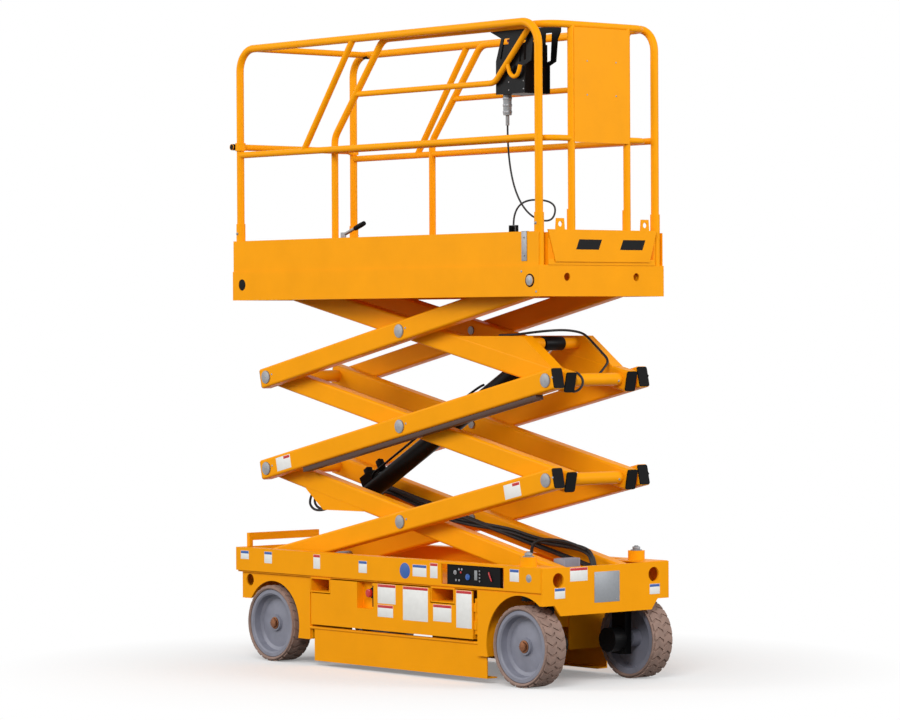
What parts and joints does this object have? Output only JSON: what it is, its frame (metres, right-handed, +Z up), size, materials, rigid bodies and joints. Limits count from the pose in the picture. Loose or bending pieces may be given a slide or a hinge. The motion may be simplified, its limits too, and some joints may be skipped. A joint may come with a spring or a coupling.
{
  "type": "electric scissor lift",
  "caption": "Narrow self-propelled scissor lift with a three-stage arm stack, a railed platform with a roll-out extension, and steered front wheels.",
  "frame": {"origin": "on the ground under the centre of the bounding box", "axes": "+X forward towards the steered wheels, +Y to the machine's left, +Z up"},
  "size_m": [2.3784, 0.81, 3.1011],
  "materials": {
    "paint": "semi-gloss paint",
    "pin_steel": "zinc plated",
    "black_plastic": "matt",
    "black_paint": "satin paint",
    "rod_chrome": "polished",
    "wheel_grey": "satin paint",
    "tyre_rubber": "matt",
    "cable_rubber": "matt",
    "plug_grey": "matt",
    "lever_steel": "zinc plated",
    "chassis_steel": "satin paint",
    "battery_case": "matt"
  },
  "bodies": {
    "chassis": {"chassis_side_rails": "paint", "ground_controls": "black_plastic", "chassis_front_plate": "paint", "chassis_rear_plate": "paint", "chassis_deck": "chassis_steel", "chassis_beam": "chassis_steel", "chassis_bulkheads": "chassis_steel", "fork_pockets": "paint", "wheel_panels": "paint", "front_corner_decks": "paint", "rear_axle": "black_paint", "rear_ladder": "paint", "base_pivots": "paint"},
    "tray_right": {"tray_right": "paint"},
    "tray_left": {"tray_left": "paint", "battery_pack": "battery_case"},
    "pothole_guard_right": {"pothole_guard_right": "paint"},
    "pothole_guard_left": {"pothole_guard_left": "paint"},
    "knuckle_right": {"knuckle_right": "black_paint"},
    "knuckle_left": {"knuckle_left": "black_paint"},
    "wheel_front_right": {"wheel_front_right": "wheel_grey", "tyre_front_right": "tyre_rubber"},
    "wheel_front_left": {"wheel_front_left": "wheel_grey", "tyre_front_left": "tyre_rubber"},
    "wheel_rear_right": {"wheel_rear_right": "wheel_grey", "tyre_rear_right": "tyre_rubber"},
    "wheel_rear_left": {"wheel_rear_left": "wheel_grey", "tyre_rear_left": "tyre_rubber"},
    "inner_arm_1": {"inner_arm_1": "paint", "inner_arm_1_caps": "black_plastic", "inner_arm_1_hoses": "cable_rubber"},
    "outer_arm_1": {"outer_arm_1": "paint", "outer_arm_1_caps": "black_plastic", "outer_arm_1_pins": "pin_steel"},
    "inner_arm_2": {"inner_arm_2": "paint", "inner_arm_2_caps": "black_plastic"},
    "outer_arm_2": {"outer_arm_2": "paint", "outer_arm_2_caps": "black_plastic", "outer_arm_2_pins": "pin_steel"},
    "inner_arm_3": {"inner_arm_3": "paint", "inner_arm_3_caps": "black_plastic", "inner_arm_3_rollers": "pin_steel"},
    "outer_arm_3": {"outer_arm_3": "paint", "outer_arm_3_caps": "black_plastic", "outer_arm_3_pins": "pin_steel"},
    "lift_barrel": {"lift_barrel": "black_paint"},
    "lift_rod": {"lift_rod": "rod_chrome"},
    "platform": {"platform_deck": "paint", "roller_tracks": "chassis_steel", "toe_boards": "paint", "main_rails": "paint"},
    "gate_bar": {"gate_bar": "paint"},
    "extension": {"extension_deck": "paint", "extension_toe_board": "paint", "extension_rails": "paint", "front_panel": "paint", "lock_lever": "lever_steel", "control_box": "black_paint", "cable_ends": "plug_grey", "control_cable": "cable_rubber"}
  },
  "joints": [
    {"name": "lift", "type": "hinge", "parent": "chassis", "child": "inner_arm_1", "pos_m": [1.07835, 0, 0.4993], "axis": [0, 1, 0], "range_deg": [-8.1, 48.2]},
    {"name": "outer_arm_1_swing", "type": "hinge", "parent": "inner_arm_1", "child": "outer_arm_1", "pos_m": [0.02665, 0, 0.7304], "axis": [0, 1, 0], "range_deg": [-96.41, 16.21]},
    {"name": "inner_arm_2_swing", "type": "hinge", "parent": "outer_arm_1", "child": "inner_arm_2", "pos_m": [1.07835, 0, 0.96149], "axis": [0, 1, 0], "range_deg": [-16.21, 96.41]},
    {"name": "outer_arm_2_swing", "type": "hinge", "parent": "inner_arm_2", "child": "outer_arm_2", "pos_m": [0.02665, 0, 1.19259], "axis": [0, 1, 0], "range_deg": [-96.41, 16.21]},
    {"name": "inner_arm_3_swing", "type": "hinge", "parent": "outer_arm_2", "child": "inner_arm_3", "pos_m": [1.07835, 0, 1.42369], "axis": [0, 1, 0], "range_deg": [-16.21, 96.41]},
    {"name": "outer_arm_3_swing", "type": "hinge", "parent": "inner_arm_3", "child": "outer_arm_3", "pos_m": [0.02665, 0, 1.65478], "axis": [0, 1, 0], "range_deg": [-96.41, 16.21]},
    {"name": "platform_level", "type": "hinge", "parent": "outer_arm_3", "child": "platform", "pos_m": [1.07835, 0, 1.88588], "axis": [0, 1, 0], "range_deg": [-8.11, 48.21]},
    {"name": "barrel_swing", "type": "hinge", "parent": "inner_arm_1", "child": "lift_barrel", "pos_m": [-0.65504, 0, 0.799], "axis": [0, 1, 0], "range_deg": [-110.87, 18.64]},
    {"name": "rod_slide", "type": "slide", "parent": "lift_barrel", "child": "lift_rod", "axis": [0.8763, 0, 0.4818], "range_m": [-0.18194, 1.08018]},
    {"name": "extension_slide", "type": "slide", "parent": "platform", "child": "extension", "axis": [1, 0, 0], "range_m": [0, 0.92]},
    {"name": "gate_lift", "type": "slide", "parent": "platform", "child": "gate_bar", "axis": [0, 0, 1], "range_m": [0, 0.3]},
    {"name": "steer_right", "type": "hinge", "parent": "chassis", "child": "knuckle_right", "pos_m": [0.99875, -0.345, 0.5], "axis": [0, 0, 1], "range_deg": [-60, 60]},
    {"name": "steer_left", "type": "hinge", "parent": "chassis", "child": "knuckle_left", "pos_m": [0.99875, 0.345, 0.5], "axis": [0, 0, 1], "range_deg": [-60, 60]},
    {"name": "wheel_front_right_spin", "type": "hinge", "parent": "knuckle_right", "child": "wheel_front_right", "pos_m": [0.99875, -0.3415, 0.1905], "axis": [0, 1, 0], "continuous": true},
    {"name": "wheel_front_left_spin", "type": "hinge", "parent": "knuckle_left", "child": "wheel_front_left", "pos_m": [0.99875, 0.3415, 0.1905], "axis": [0, 1, 0], "continuous": true},
    {"name": "wheel_rear_right_spin", "type": "hinge", "parent": "chassis", "child": "wheel_rear_right", "pos_m": [-0.87525, -0.3415, 0.1905], "axis": [0, 1, 0], "continuous": true},
    {"name": "wheel_rear_left_spin", "type": "hinge", "parent": "chassis", "child": "wheel_rear_left", "pos_m": [-0.87525, 0.3415, 0.1905], "axis": [0, 1, 0], "continuous": true},
    {"name": "tray_right_swing", "type": "hinge", "parent": "chassis", "child": "tray_right", "pos_m": [0.68575, -0.394, 0.3], "axis": [0, 0, 1], "range_deg": [0, 90]},
    {"name": "tray_left_swing", "type": "hinge", "parent": "chassis", "child": "tray_left", "pos_m": [0.68575, 0.394, 0.3], "axis": [0, 0, -1], "range_deg": [0, 90]},
    {"name": "guard_right_fold", "type": "hinge", "parent": "chassis", "child": "pothole_guard_right", "pos_m": [-0.01525, -0.383, 0.187], "axis": [1, 0, 0], "range_deg": [0, 80]},
    {"name": "guard_left_fold", "type": "hinge", "parent": "chassis", "child": "pothole_guard_left", "pos_m": [-0.01525, 0.383, 0.187], "axis": [-1, 0, 0], "range_deg": [0, 80]}
  ],
  "couplings": [
    {"joint": "outer_arm_1_swing", "follows": "lift", "ratio": -2},
    {"joint": "inner_arm_2_swing", "follows": "lift", "ratio": 2},
    {"joint": "outer_arm_2_swing", "follows": "lift", "ratio": -2},
    {"joint": "inner_arm_3_swing", "follows": "lift", "ratio": 2},
    {"joint": "outer_arm_3_swing", "follows": "lift", "ratio": -2},
    {"joint": "platform_level", "follows": "lift", "ratio": 1},
    {"joint": "barrel_swing", "follows": "lift", "ratio": -2.3},
    {"joint": "rod_slide", "follows": "lift", "m_per_rad": 1.2834},
    {"joint": "steer_left", "follows": "steer_right", "ratio": 1}
  ]
}
